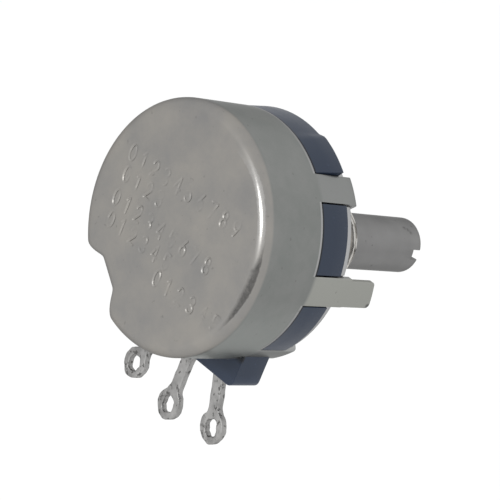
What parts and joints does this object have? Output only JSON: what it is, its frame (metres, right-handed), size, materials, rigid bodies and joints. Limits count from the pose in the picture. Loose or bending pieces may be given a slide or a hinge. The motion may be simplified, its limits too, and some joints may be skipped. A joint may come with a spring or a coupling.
{
  "type": "rotary potentiometer",
  "caption": "Panel-mounting rotary potentiometer with a drawn metal cover, threaded bushing, slotted shaft and flat solder terminals.",
  "frame": {"origin": "centre of the raised face that meets the panel, on the shaft's axis", "axes": "-Y runs out along the bushing and the shaft, -Z points to the terminals, +X points away from the locating lug"},
  "size_m": [0.027, 0.037, 0.0368],
  "materials": {
    "cover_metal": "satin plated sheet steel",
    "plate_metal": "satin plated sheet steel",
    "bushing_metal": "nickel-plated turned brass",
    "shaft_metal": "turned stainless steel",
    "base_moulding": "dark blue-grey moulded phenolic",
    "terminal_metal": "tinned brass, slightly dull",
    "rivet_metal": "silver-plated brass",
    "rotor_moulding": "moulded phenolic",
    "carbon": "pressed carbon",
    "spring_metal": "phosphor bronze strip",
    "washer_metal": "plain brass",
    "clip_metal": "oiled spring steel",
    "fibre": "pressed fibre sheet"
  },
  "bodies": {
    "housing": {"cover": "cover_metal", "insulating_disc": "fibre", "base": "base_moulding", "front_plate": "plate_metal", "bushing": "bushing_metal", "thrust_washer": "washer_metal", "resistance_track": "carbon", "collector_ring": "rivet_metal", "terminal_left": "terminal_metal", "terminal_middle": "terminal_metal", "terminal_right": "terminal_metal", "rivet_left": "rivet_metal", "rivet_middle": "rivet_metal", "rivet_right": "rivet_metal"},
    "turning_group": {"shaft": "shaft_metal", "retaining_ring": "clip_metal", "rotor": "rotor_moulding", "push_nut": "clip_metal", "contact_spring": "spring_metal", "track_brush": "carbon", "collector_brush": "carbon"}
  },
  "joints": [
    {"name": "shaft_turn", "type": "hinge", "parent": "housing", "child": "turning_group", "pos_m": [0, 0, 0], "axis": [0, 1, 0], "range_deg": [-160.9, 151.1]}
  ]
}
